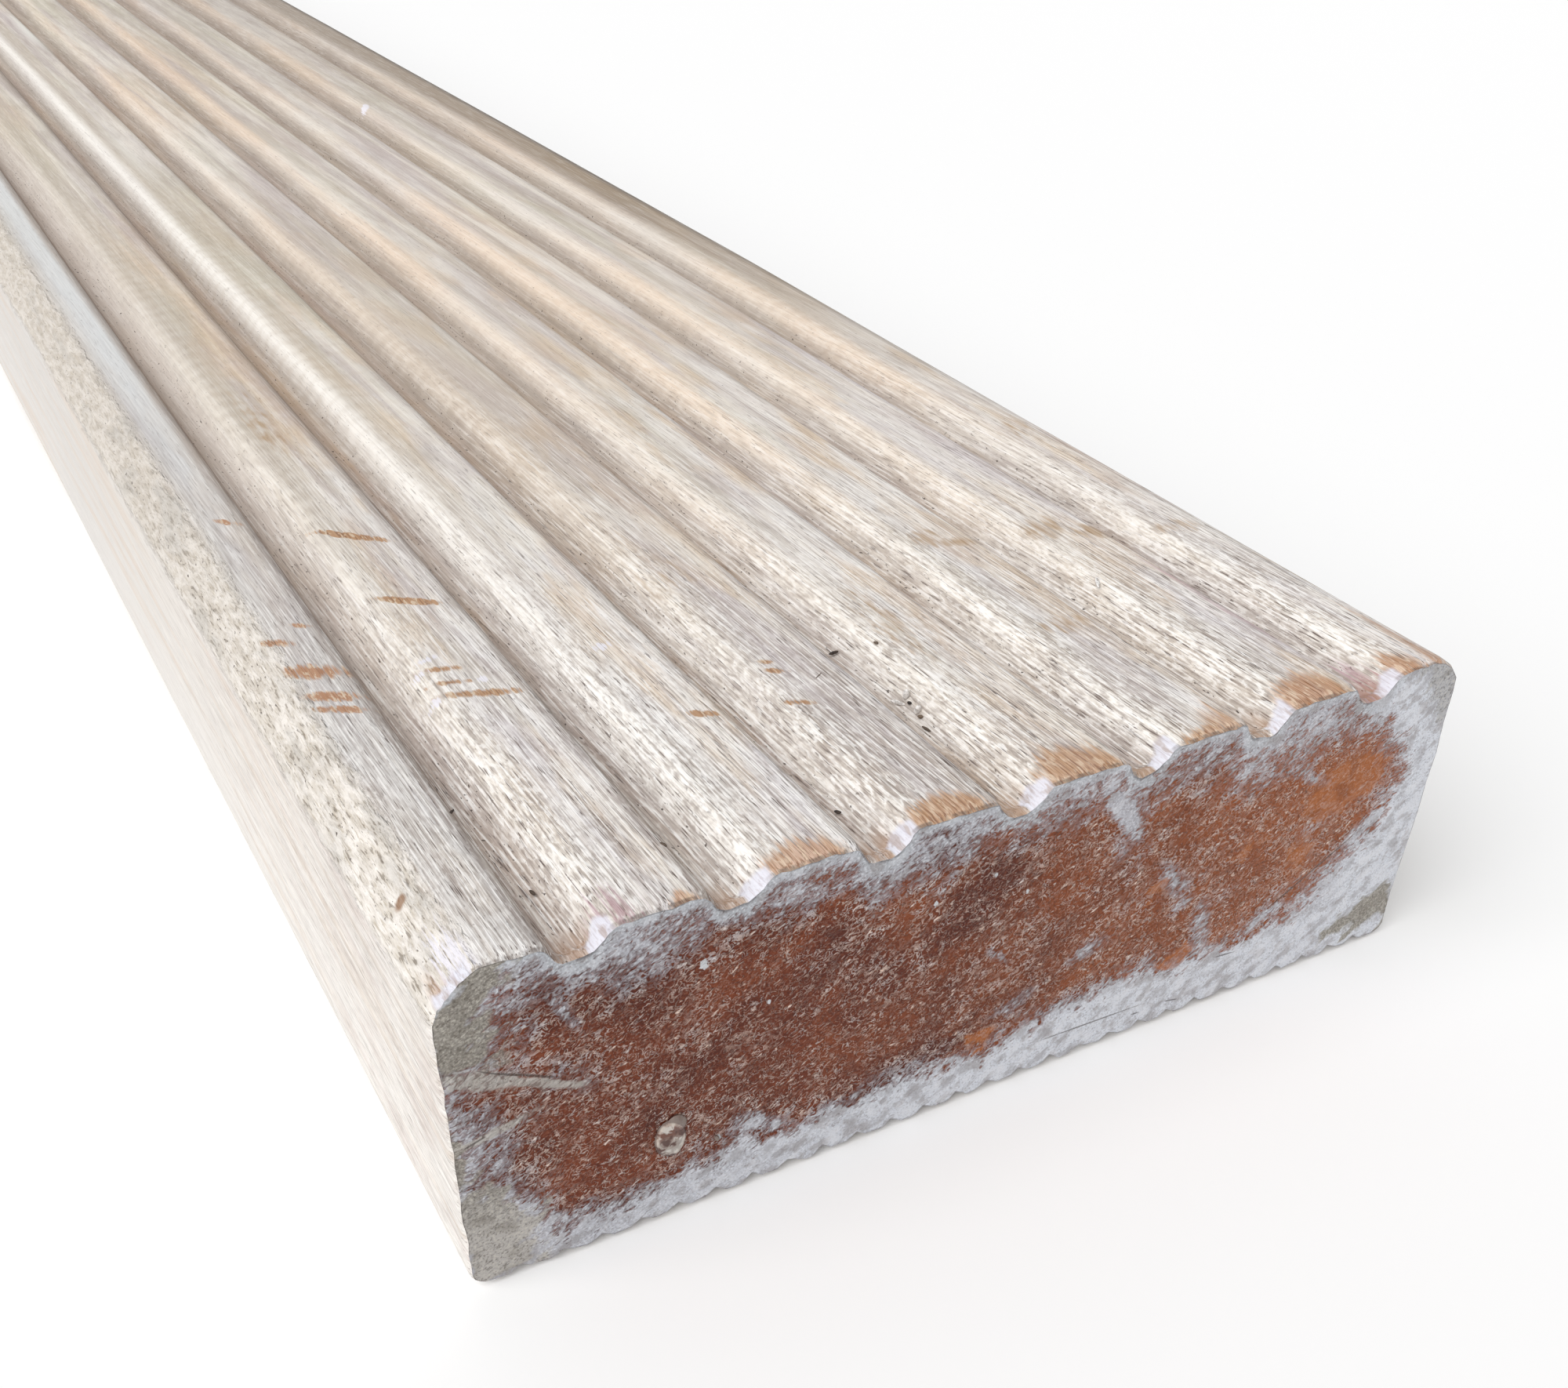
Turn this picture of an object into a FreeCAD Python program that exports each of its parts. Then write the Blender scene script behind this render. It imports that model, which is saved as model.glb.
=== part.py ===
import FreeCAD, Part
import math
import os

# A hardwood decking board: one length of machined timber with a square-cut end.
# Sizes are in millimetres. X runs along the board, Y across it and Z up, from the middle of the underside.

# Stock
board_length = 2440.0
board_width = 145.0
board_thickness = 47.0

# Long edges
upper_edge_radius = 6.0        # rounded upper edge on the +Y side
torn_edge_flat = 4.8           # upper edge on the -Y side, torn down to a flat, along each face
torn_edge_radius = 3.0         # where that flat runs into the side and the tread
lower_edge_radius = 2.5

# Drainage grooves along the tread face
groove_pitch = 18.7
groove_depth = 3.7
groove_floor_width = 3.2
groove_wall_lean = 28.0        # degrees from upright
groove_shoulder_radius = 2.0
groove_corner_radius = 0.8
edge_land_width = 11.0         # tread kept outside the outermost grooves, at least

# Fine reeding along the underside
rib_pitch = 5.08
rib_height = 1.0
rib_crest_width = 2.4          # between the sharp corners that the crest radius rounds
rib_crest_radius = 1.8
rib_root_width = 0.3           # flat at the bottom of each valley
edge_strip_width = 4.5         # plain underside kept along each lower edge, at least

# The most of a straight run that the rounding at one of its ends may use
rounding_share = 0.48


def spread(count, pitch):
    # places of a centred row
    return [(n - (count - 1) / 2) * pitch for n in range(count)]


def underside_corners():
    # from -Y to +Y, as (y, z, rounding)
    valley_mouth = rib_pitch - rib_crest_width
    room = board_width - 2 * edge_strip_width - valley_mouth
    corners = [(-board_width / 2, 0.0, lower_edge_radius)]
    for middle in spread(1 + int(room / rib_pitch), rib_pitch):
        corners.append((middle - valley_mouth / 2, 0.0, rib_crest_radius))
        corners.append((middle - rib_root_width / 2, rib_height, 0.0))
        corners.append((middle + rib_root_width / 2, rib_height, 0.0))
        corners.append((middle + valley_mouth / 2, 0.0, rib_crest_radius))
    corners.append((board_width / 2, 0.0, lower_edge_radius))
    return corners


def tread_corners():
    # from +Y to -Y, as (y, z, rounding)
    wall_run = groove_depth * math.tan(math.radians(groove_wall_lean))
    groove_mouth = groove_floor_width + 2 * wall_run
    room = board_width - 2 * edge_land_width - groove_mouth
    floor_level = board_thickness - groove_depth
    corners = [(board_width / 2, board_thickness, upper_edge_radius)]
    for middle in reversed(spread(1 + int(room / groove_pitch), groove_pitch)):
        corners.append((middle + groove_mouth / 2, board_thickness, groove_shoulder_radius))
        corners.append((middle + groove_floor_width / 2, floor_level, groove_corner_radius))
        corners.append((middle - groove_floor_width / 2, floor_level, groove_corner_radius))
        corners.append((middle - groove_mouth / 2, board_thickness, groove_shoulder_radius))
    corners.append((torn_edge_flat - board_width / 2, board_thickness, torn_edge_radius))
    corners.append((-board_width / 2, board_thickness - torn_edge_flat, torn_edge_radius))
    return corners


def rounded_corner(before, corner, after):
    # the start, middle and end of the arc that rounds a corner, or the corner itself where it is sharp
    point = FreeCAD.Vector(0.0, corner[0], corner[1])
    back = FreeCAD.Vector(0.0, before[0], before[1]) - point
    ahead = FreeCAD.Vector(0.0, after[0], after[1]) - point
    if corner[2] <= 0.0:
        return [point]
    half_turn = (math.pi - back.getAngle(ahead)) / 2
    shorter_run = min(back.Length, ahead.Length)
    setback = min(corner[2] * math.tan(half_turn), rounding_share * shorter_run)
    radius = setback / math.tan(half_turn)
    back.normalize()
    ahead.normalize()
    inward = back + ahead
    inward.normalize()
    depth = radius / math.cos(half_turn) - radius
    return [point + back * setback, point + inward * depth, point + ahead * setback]


def section_wire(corners):
    count = len(corners)
    rounded = [
        rounded_corner(corners[n - 1], corners[n], corners[(n + 1) % count])
        for n in range(count)
    ]
    edges = []
    for n in range(count):
        here = rounded[n]
        following = rounded[(n + 1) % count]
        if len(here) == 3:
            edges.append(Part.Arc(here[0], here[1], here[2]).toShape())
        edges.append(Part.LineSegment(here[-1], following[0]).toShape())
    return Part.Wire(edges)


section = Part.Face(section_wire(underside_corners() + tread_corners()))
section.translate(FreeCAD.Vector(-board_length / 2, 0.0, 0.0))
decking_board = section.extrude(FreeCAD.Vector(board_length, 0.0, 0.0))

os.makedirs("parts", exist_ok=True)
decking_board.exportStep("parts/decking_board.step")
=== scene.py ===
import math

import bpy
import numpy as np
from mathutils import Matrix, Vector
from mathutils.geometry import delaunay_2d_cdt


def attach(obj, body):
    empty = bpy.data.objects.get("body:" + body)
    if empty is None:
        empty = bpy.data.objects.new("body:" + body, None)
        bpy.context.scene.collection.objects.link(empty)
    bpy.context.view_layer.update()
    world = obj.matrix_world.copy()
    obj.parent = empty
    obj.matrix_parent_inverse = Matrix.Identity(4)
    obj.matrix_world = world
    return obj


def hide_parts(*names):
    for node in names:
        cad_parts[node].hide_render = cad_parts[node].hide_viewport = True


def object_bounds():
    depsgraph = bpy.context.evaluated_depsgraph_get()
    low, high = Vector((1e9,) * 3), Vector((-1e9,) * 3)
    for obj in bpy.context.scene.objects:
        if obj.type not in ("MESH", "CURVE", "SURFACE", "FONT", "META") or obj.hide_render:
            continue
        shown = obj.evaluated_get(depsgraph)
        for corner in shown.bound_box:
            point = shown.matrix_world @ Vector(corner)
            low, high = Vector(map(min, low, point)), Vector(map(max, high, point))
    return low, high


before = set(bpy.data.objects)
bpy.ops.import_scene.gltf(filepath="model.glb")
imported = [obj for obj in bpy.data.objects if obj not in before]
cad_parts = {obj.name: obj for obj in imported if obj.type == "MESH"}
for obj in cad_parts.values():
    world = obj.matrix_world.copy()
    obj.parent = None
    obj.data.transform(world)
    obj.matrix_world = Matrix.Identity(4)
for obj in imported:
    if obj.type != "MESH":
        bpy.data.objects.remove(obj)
cadLow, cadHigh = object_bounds()
scene = bpy.context.scene
scene.view_settings.view_transform = "Standard"

vectorNode = "ShaderNodeVectorMath"
noiseNode = "ShaderNodeTexNoise"
rangeNode = "ShaderNodeMapRange"     # value, from min, from max, to min, to max
mixNode = "ShaderNodeMix"
combineNode = "ShaderNodeCombineXYZ"
separateNode = "ShaderNodeSeparateXYZ"
moveNode = "GeometryNodeSetPosition"
attributeNode = "GeometryNodeInputNamedAttribute"


def toLinear(hexColour):
    parts = [int(hexColour[n:n + 2], 16) / 255 for n in (1, 3, 5)]
    return tuple(p / 12.92 if p <= 0.04045 else ((p + 0.055) / 1.055) ** 2.4 for p in parts) + (1.0,)


def put(tree, kind, inputs=(), **settings):
    # adds a node with its settings and joins its inputs, by name or in order
    # a kind in capitals is an operation of the Math node; a node as an input stands for its first live output
    node = tree.nodes.new("ShaderNodeMath" if kind.isupper() else kind)
    if kind.isupper():
        node.operation = kind
    for name, value in settings.items():
        setattr(node, name, value)
    for key, value in inputs.items() if isinstance(inputs, dict) else enumerate(inputs):
        socket = node.inputs[key] if isinstance(key, int) else next(
            s for s in node.inputs if s.enabled and s.name == key)
        if isinstance(value, bpy.types.Node):
            value = next(s for s in value.outputs if s.enabled)
        if isinstance(value, bpy.types.NodeSocket):
            tree.links.new(value, socket)
        elif isinstance(value, str) and value.startswith("#"):
            socket.default_value = toLinear(value)
        else:
            socket.default_value = value
    return node


def newShapeTree(name, inputs):
    tree = bpy.data.node_groups.new(name, "GeometryNodeTree")
    tree.interface.new_socket("Geometry", in_out="INPUT", socket_type="NodeSocketGeometry")
    for label, kind in inputs.items():
        tree.interface.new_socket(label, in_out="INPUT", socket_type="NodeSocket" + kind)
    tree.interface.new_socket("Geometry", in_out="OUTPUT", socket_type="NodeSocketGeometry")
    return tree, tree.nodes.new("NodeGroupInput"), tree.nodes.new("NodeGroupOutput")


def shapeFrom(name, baseMesh, tree, values):
    # runs a tree on a mesh and keeps the result as a plain object at the origin
    source = bpy.data.objects.new(name + "Source", baseMesh)
    scene.collection.objects.link(source)
    modifier = source.modifiers.new("shape", "NODES")
    modifier.node_group = tree
    for item in tree.interface.items_tree:
        if item.in_out == "INPUT" and item.name in values:
            modifier[item.identifier] = values[item.name]
    bpy.context.view_layer.update()
    mesh = bpy.data.meshes.new_from_object(source.evaluated_get(bpy.context.evaluated_depsgraph_get()))
    source.modifiers.remove(modifier)
    bpy.data.objects.remove(source)
    mesh.name = name
    piece = bpy.data.objects.new(name, mesh)
    scene.collection.objects.link(piece)
    print(name, len(mesh.vertices), "points", sum(len(p.vertices) - 2 for p in mesh.polygons), "triangles")
    return piece


# the board, in millimetres; the overall sizes are the frame's
board = {
    "length": (cadHigh.x - cadLow.x) * 1000,
    "width": (cadHigh.y - cadLow.y) * 1000,
    "thickness": (cadHigh.z - cadLow.z) * 1000,
    "groovePitch": 18.7, "grooveCount": 7, "grooveDepth": 3.7, "grooveFloor": 3.2, "grooveLean": 28.0,
    "shoulderRadius": 3.0, "cornerRadius": 1.2,
    "keenRadius": 1.8, "keenLean": 22.0,   # the groove walls that face right are steeper and keener
    "upperRadius": 6.0, "tornFlat": 4.8, "tornRadius": 3.0, "lowerRadius": 2.5,
    "ribPitch": 5.08, "ribCount": 27, "ribHeight": 1.0, "ribCrest": 2.4, "ribRadius": 1.8,
    "roundingShare": 0.48, "arcStep": 20.0,    # the most of a run that a rounding uses, degrees to a step
    "stations": 180, "endGrowth": 4.6,     # rings along the length, crowded towards the shown end
    "endRecess": 0.7, "rimEase": 0.3,      # room for the wax on the ends, and their eased rim
    "endMesh": 0.8, "farMesh": 3.5,        # point spacing over the shown end and the far one
    "tornDepth": 0.7, "grainDepth": 0.12, "waveDepth": 0.25, "waxDepth": 0.28, "fillDepth": 0.9,
    "arrisWear": 2.8,                      # how much rounder the plain arris is at the ends than farther in
}

# stains on the shown end, as outlines in mm from the section's lower left corner
endStains = {
    "core": [
        (10.7, 42.0), (9.0, 38.0), (7.0, 34.5), (9.0, 30.8), (16.5, 25.6), (10.7, 27.6), (4.0, 31.2),
        (2.6, 29.2), (5.4, 25.6), (9.6, 24.2), (5.2, 21.2), (6.4, 16.4), (9.0, 12.0), (9.6, 8.0),
        (12.5, 5.4), (17.9, 5.4), (26.3, 6.2), (31.0, 6.6), (36.2, 10.4), (39.2, 7.5), (49.8, 7.6),
        (60.0, 8.2), (70.8, 6.4), (75.0, 8.6), (84.9, 9.9), (96.6, 11.7), (101.4, 9.0), (111.8, 9.8),
        (122.6, 10.7), (128.0, 15.5), (136.0, 20.9), (136.0, 25.0), (138.8, 28.7), (136.8, 34.9),
        (132.7, 39.6), (126.2, 41.0), (119.0, 39.4), (111.0, 37.4), (103.1, 41.3), (92.6, 41.2),
        (90.4, 35.1), (86.2, 42.4), (80.0, 40.6), (72.8, 42.0), (63.0, 39.2), (53.7, 37.4), (48.3, 42.2),
        (40.7, 40.9), (28.2, 40.5), (21.0, 38.3), (16.4, 40.8)],
    "bare": [
        [(-1, 41.0), (2.9, 48), (8.2, 47), (9.1, 44.3), (6.5, 42.2), (5.8, 37.5), (6.2, 33.2), (-1, 32.5)],
        [(-1, 27.5), (0.9, 26), (1.2, 20.8), (1.9, 15.4), (5.5, 14.2), (6.7, 11.0), (9.2, 8.2), (7.8, 5.1),
         (10.2, -1), (-1, -1)],
        [(135.7, 47.5), (139.6, 42.6), (143.0, 36.6), (147, 36), (147, 48)],
        [(131.5, 4.2), (136.0, 6.6), (141.5, 9.2), (146.5, 9), (146.5, 3.6), (139.0, 2.6)]],
}


def spread(count, pitch):
    return [(n - (count - 1) / 2) * pitch for n in range(count)]


def sectionCorners(b):
    # round the section from its lower left corner
    # each is (y, z, rounding, spacing of the points on the run that follows)
    half, top = b["width"] / 2, b["thickness"]
    mouth = (b["ribPitch"] - b["ribCrest"]) / 2
    floor, bed = b["grooveFloor"] / 2, top - b["grooveDepth"]
    wall, keenWall = (floor + b["grooveDepth"] * math.tan(math.radians(b[lean]))
                      for lean in ("grooveLean", "keenLean"))
    corners = [(-half, 0, b["lowerRadius"], 9)]
    for y in spread(b["ribCount"], b["ribPitch"]):
        corners += [(y - mouth, 0, b["ribRadius"], 9), (y, b["ribHeight"], 0, 9),
                    (y + mouth, 0, b["ribRadius"], 9)]
    corners += [(half, 0, b["lowerRadius"], 5), (half, top, b["upperRadius"], 1.2)]
    for y in reversed(spread(b["grooveCount"], b["groovePitch"])):
        corners += [(y + wall, top, b["shoulderRadius"], 2), (y + floor, bed, b["cornerRadius"], 1.2),
                    (y - floor, bed, b["cornerRadius"], 2), (y - keenWall, top, b["keenRadius"], 1.2)]
    corners += [(b["tornFlat"] - half, top, b["tornRadius"], 0.6),
                (-half, top - b["tornFlat"], b["tornRadius"], 1.8)]
    return corners


def sectionOutline(b):
    # points round the section, anticlockwise as seen from the shown end
    corners = sectionCorners(b)
    arcs = []
    for n, (y, z, radius, gap) in enumerate(corners):
        here = Vector((y, z))
        back = Vector(corners[n - 1][:2]) - here
        ahead = Vector(corners[(n + 1) % len(corners)][:2]) - here
        if radius == 0:
            arcs.append([here])
            continue
        half = (math.pi - back.angle(ahead)) / 2
        setback = min(radius * math.tan(half), b["roundingShare"] * min(back.length, ahead.length))
        radius = setback / math.tan(half)
        first, last = here + back.normalized() * setback, here + ahead.normalized() * setback
        middle = here + (back.normalized() + ahead.normalized()).normalized() * radius / math.cos(half)
        steps = max(2, round(half * 2 / math.radians(b["arcStep"])))
        start, turn = first - middle, (first - middle).angle_signed(last - middle)
        arcs.append([middle + Matrix.Rotation(-turn * s / steps, 2) @ start for s in range(steps + 1)])
    points = []
    for n, arc in enumerate(arcs):
        points += arc
        end = arcs[(n + 1) % len(arcs)][0]
        pieces = max(1, round((end - arc[-1]).length / corners[n][3]))
        points += [arc[-1].lerp(end, s / pieces) for s in range(1, pieces)]
    return np.array([tuple(p) for p in points])


def signedDistance(points, outline):
    # mm to an outline, positive inside it
    a = np.array(outline, float)
    b = np.roll(a, -1, 0)
    run = b - a
    away = points[:, None] - a
    share = np.clip((away * run).sum(2) / (run * run).sum(1), 0, 1)
    distance = np.linalg.norm(away - share[..., None] * run, axis=2).min(1)
    rises = (a[:, 1] > points[:, 1:]) != (b[:, 1] > points[:, 1:])
    with np.errstate(divide="ignore", invalid="ignore"):
        cross = a[:, 0] + (points[:, 1:] - a[:, 1]) * run[:, 0] / run[:, 1]
    inside = (rises & (points[:, :1] < cross)).sum(1) % 2 == 1
    return np.where(inside, distance, -distance)


def endFace(name, b, outline, gap, mirrored):
    # a flat cut face: the outline's points first, then an even spread of points inside it
    half, top = b["width"] / 2, b["thickness"]
    rowGap = gap * 0.866     # rows of nearly even triangles
    inner = []
    for n, z in enumerate(np.arange(0, top, rowGap)):
        y = np.arange(-half + (n % 2) * gap / 2, half, gap)
        inner.append(np.c_[y, np.full(len(y), z)])
    inner = np.concatenate(inner)
    flatMiddle = np.array([b["tornFlat"] / 2 - half, top - b["tornFlat"] / 2])
    # clear of the rim by more than the relief pushes it in
    tornRoom, rimRoom = 1.6, 0.8
    byTorn = np.linalg.norm(inner - flatMiddle, axis=1) < b["tornFlat"] * 1.2
    inner = inner[signedDistance(inner, outline) > np.where(byTorn, tornRoom, rimRoom)]
    count = len(outline)
    points = np.concatenate([outline, inner])
    loop = [(n, (n + 1) % count) for n in range(count)]
    made = delaunay_2d_cdt([Vector(p) for p in points], loop, [], 1, 1e-6)
    assert len(made[0]) == len(points), "the section's points stay as they are"
    mesh = bpy.data.meshes.new(name)
    mesh.from_pydata([(0, p[0], p[1]) for p in made[0]], [], made[2])
    flat = np.array([tuple(p) for p in made[0]])
    along = np.roll(outline, -1, 0) - np.roll(outline, 1, 0)
    outward = np.zeros((len(points), 3))
    lengths = np.linalg.norm(along, axis=1)[:, None]
    outward[:count] = np.c_[np.zeros(count), along[:, 1], -along[:, 0]] / lengths
    torn = np.clip(1.6 - np.linalg.norm(flat - flatMiddle, axis=1) / (b["tornFlat"] * 0.75), 0, 1)
    torn[count:] = 0
    stain = np.c_[(half - flat[:, 0]) if mirrored else (flat[:, 0] + half), flat[:, 1]]
    values = {"torn": torn, "rim": signedDistance(flat, outline),
              "core": signedDistance(stain, endStains["core"]),
              "bare": np.max([signedDistance(stain, o) for o in endStains["bare"]], axis=0)}
    for label, data in values.items():
        mesh.attributes.new(label, "FLOAT", "POINT").data.foreach_set("value", data.astype(np.float32))
    arrows = mesh.attributes.new("outward", "FLOAT_VECTOR", "POINT").data
    arrows.foreach_set("vector", outward.astype(np.float32).ravel())
    return mesh, count


# noises that roughen the board: sizes in mm along, across and up, and detail
reliefGrain = {"torn": ((4.5, 1.2, 1.2), 3), "grain": ((70, 1.7, 1.7), 2), "wave": ((110, 9, 9), 1),
               "wax": ((3, 2.2, 2.2), 4)}
noiseSpread = (0.3, 0.7)     # where nearly all of a noise's values lie


def boardTree():
    tree, given, result = newShapeTree("boardSweep", {
        "Far end": "Object", "Outline points": "Int", "Length": "Float", "Stations": "Int",
        "End growth": "Float", "End recess": "Float", "Rim ease": "Float", "Torn depth": "Float",
        "Grain depth": "Float", "Wave depth": "Float", "Wax depth": "Float", "Fill depth": "Float",
        "Arris wear": "Float", "Long faces": "Material", "End faces": "Material"})
    g = given.outputs
    # the long faces are a grid: one column for each point of the section, one row for each station
    columns = put(tree, "ADD", [g["Outline points"], 1])
    rows = put(tree, "ADD", [g["Stations"], 1])
    grid = put(tree, "GeometryNodeMeshGrid", {"Vertices X": columns, "Vertices Y": rows})
    index = put(tree, "GeometryNodeInputIndex")
    column = put(tree, "FLOOR", [put(tree, "DIVIDE", [index, rows])])
    row = put(tree, "MODULO", [index, rows])
    corner = put(tree, "MODULO", [column, g["Outline points"]])
    run = put(tree, "DIVIDE", [row, g["Stations"]])
    # stations crowd towards the shown end
    grown = [put(tree, "EXPONENT", [put(tree, "MULTIPLY", [part, g["End growth"]])]) for part in (run, 1.0)]
    share = put(tree, "DIVIDE", [put(tree, "SUBTRACT", [power, 1]) for power in grown])
    clear = put(tree, "MULTIPLY_ADD", [g["End recess"], -2, g["Length"]])
    along = put(tree, "MULTIPLY_ADD", [share, clear, g["End recess"]])
    sampled = {}
    for label, kind in {"position": "FLOAT_VECTOR", "outward": "FLOAT_VECTOR", "torn": "FLOAT"}.items():
        field = (put(tree, "GeometryNodeInputPosition") if label == "position" else
                 put(tree, attributeNode, {"Name": label}, data_type=kind).outputs[0])
        sampled[label] = put(tree, "GeometryNodeSampleIndex", {
            "Geometry": g["Geometry"], "Value": field, "Index": corner}, data_type=kind)
    station = put(tree, combineNode, {"X": along})
    drawn = put(tree, vectorNode, [sampled["position"], station], operation="ADD")
    runs = put(tree, moveNode, {"Geometry": grid, "Position": drawn})
    for label, kind in {"outward": "FLOAT_VECTOR", "torn": "FLOAT"}.items():
        runs = put(tree, "GeometryNodeStoreNamedAttribute", {
            "Geometry": runs, "Name": label, "Value": sampled[label]}, data_type=kind)
    # the two cut faces close it
    nearEnd = put(tree, "GeometryNodeFlipFaces", {"Mesh": put(tree, moveNode, {
        "Geometry": g["Geometry"], "Offset": put(tree, combineNode, {"X": g["End recess"]})})})
    farFace = put(tree, "GeometryNodeObjectInfo", {"Object": g["Far end"]}).outputs["Geometry"]
    farEnd = put(tree, moveNode, {"Geometry": farFace, "Offset": put(tree, combineNode, {
        "X": put(tree, "SUBTRACT", [g["Length"], g["End recess"]])})})
    whole = tree.nodes.new("GeometryNodeJoinGeometry")
    for part in (farEnd, runs, nearEnd):
        tree.links.new(part.outputs[0], whole.inputs[0])
    weldGap = 0.0005
    welded = put(tree, "GeometryNodeMergeByDistance", {"Geometry": whole, "Distance": weldGap})
    # relief, in mm along the section's own outward direction, never outside the section
    place = put(tree, "GeometryNodeInputPosition")
    outward = put(tree, attributeNode, {"Name": "outward"}, data_type="FLOAT_VECTOR").outputs[0]
    torn, core, bare = (put(tree, attributeNode, {"Name": label}, data_type="FLOAT").outputs[0]
                        for label in ("torn", "core", "bare"))
    noise = {}
    for label, (size, detail) in reliefGrain.items():
        scaled = put(tree, vectorNode, [place, size], operation="DIVIDE")
        noise[label] = put(tree, noiseNode, {"Vector": scaled, "Scale": 1, "Detail": detail}).outputs[0]
    cut = put(tree, "MULTIPLY", [put(tree, rangeNode, [noise["torn"], *noiseSpread]), torn])
    depth = put(tree, "MULTIPLY", [cut, g["Torn depth"]])
    depth = put(tree, "MULTIPLY_ADD", [noise["grain"], g["Grain depth"], depth])
    depth = put(tree, "MULTIPLY_ADD", [noise["wave"], g["Wave depth"], depth])
    alongX, acrossY, upZ = put(tree, separateNode, [place]).outputs
    farX = put(tree, "SUBTRACT", [g["Length"], alongX])
    toEnd = put(tree, "SUBTRACT", [put(tree, "MINIMUM", [alongX, farX]), g["End recess"]])
    easeReach = 0.9     # mm from the cut
    ease = put(tree, rangeNode, [toEnd, 0, easeReach, g["Rim ease"], 0])
    ease = put(tree, "MULTIPLY", [ease, put(tree, rangeNode, [noise["wax"], *noiseSpread, 0.1, 1.9])])
    depth = put(tree, "ADD", [depth, ease])
    sunk = put(tree, "MULTIPLY", [depth, -1])
    inward = put(tree, vectorNode, {0: outward, "Scale": sunk}, operation="SCALE")
    # the wax stands proud of the cut faces where it lies thick
    film = put(tree, rangeNode, [put(tree, "MULTIPLY_ADD", [noise["wax"], -5, core]), -1.2, -4.5, 0, 1])
    film = put(tree, "MULTIPLY", [film, put(tree, rangeNode, [bare, -0.8, 0.2, 1, 0])])
    isFar = put(tree, "GREATER_THAN", [alongX, farX])
    side = put(tree, "MULTIPLY_ADD", [isFar, 2, -1])
    onEnd = put(tree, "LESS_THAN", [toEnd, 0.001])
    lift = put(tree, "MULTIPLY", [put(tree, "MULTIPLY", [film, g["Wax depth"]]), onEnd])
    proud = put(tree, combineNode, {"X": put(tree, "MULTIPLY", [lift, side])})
    # it also fills the ends of the grooves part way up: a value, where that is nil and where it is full
    filled = put(tree, vectorNode, [outward], operation="LENGTH").outputs["Value"]
    for value, nil, full in ((toEnd, 2.6, 0.4), (upZ, 45.8, 43.2), (upZ, 42.4, 42.8),
                             (put(tree, "ABSOLUTE", [acrossY]), 63, 62)):
        mask = put(tree, rangeNode, [value, nil, full], interpolation_type="SMOOTHSTEP")
        filled = put(tree, "MULTIPLY", [filled, mask])
    raised = put(tree, combineNode, {"Z": put(tree, "MULTIPLY", [filled, g["Fill depth"]])})
    proud = put(tree, vectorNode, [proud, raised], operation="ADD")
    # the plain arris is keener away from the ends
    keener = g["Arris wear"]
    for value, nil, full in ((toEnd, 10, 200), (acrossY, 61, 65), (upZ, 35, 39)):
        keener = put(tree, "MULTIPLY", [keener, put(tree, rangeNode, [value, nil, full])])
    toCorner = put(tree, vectorNode, [(0, 1, 1), outward], operation="SUBTRACT")
    sharpened = put(tree, vectorNode, {0: toCorner, "Scale": keener}, operation="SCALE")
    proud = put(tree, vectorNode, [proud, sharpened], operation="ADD")
    relief = put(tree, vectorNode, [inward, proud], operation="ADD")
    moved = put(tree, moveNode, {"Geometry": welded, "Offset": relief})
    # into the frame: the shown end at +X, metres
    halfLength = put(tree, "MULTIPLY", [g["Length"], 0.5])
    turned = put(tree, vectorNode, [place, (-1, 1, 1), put(tree, combineNode, {"X": halfLength})],
                 operation="MULTIPLY_ADD")
    placed = put(tree, moveNode, {"Geometry": moved, "Position": put(
        tree, vectorNode, {0: turned, "Scale": 0.001}, operation="SCALE")})
    creaseAngle, endFacing = 0.9, 0.7
    smooth = put(tree, "GeometryNodeSetShadeSmooth", {"Geometry": placed})
    steep = put(tree, "GREATER_THAN", [put(tree, "GeometryNodeInputMeshEdgeAngle").outputs[0], creaseAngle])
    creased = put(tree, "GeometryNodeSetShadeSmooth", {
        "Geometry": smooth, "Selection": steep, "Shade Smooth": False}, domain="EDGE")
    facing = put(tree, separateNode, [put(tree, "GeometryNodeInputNormal")]).outputs[0]
    isEnd = put(tree, "GREATER_THAN", [put(tree, "ABSOLUTE", [facing]), endFacing])
    clothed = put(tree, "GeometryNodeSetMaterial", {"Geometry": creased, "Material": g["Long faces"]})
    real = put(tree, "GeometryNodeRealizeInstances", {"Geometry": clothed})
    clothed = put(tree, "GeometryNodeSetMaterial", {
        "Geometry": real, "Selection": isEnd, "Material": g["End faces"]})
    tree.links.new(clothed.outputs[0], result.inputs[0])
    return tree


def newMaterial(name):
    material = bpy.data.materials.new(name)
    material.use_nodes = True
    tree = material.node_tree
    tree.nodes.clear()
    shader = put(tree, "ShaderNodeBsdfPrincipled")
    put(tree, "ShaderNodeOutputMaterial", {"Surface": shader})
    return material, tree, shader


def strokes(lines, reach, breadth):
    # lines drawn from one place to another, with a half width and a strength, as ellipses
    return [(((x0 + x1) / 2, (y0 + y1) / 2), (math.hypot(x1 - x0, y1 - y0) * reach, halfWidth * breadth),
             math.atan2(y1 - y0, x1 - x0), strength) for (x0, y0), (x1, y1), halfWidth, strength in lines]


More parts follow.
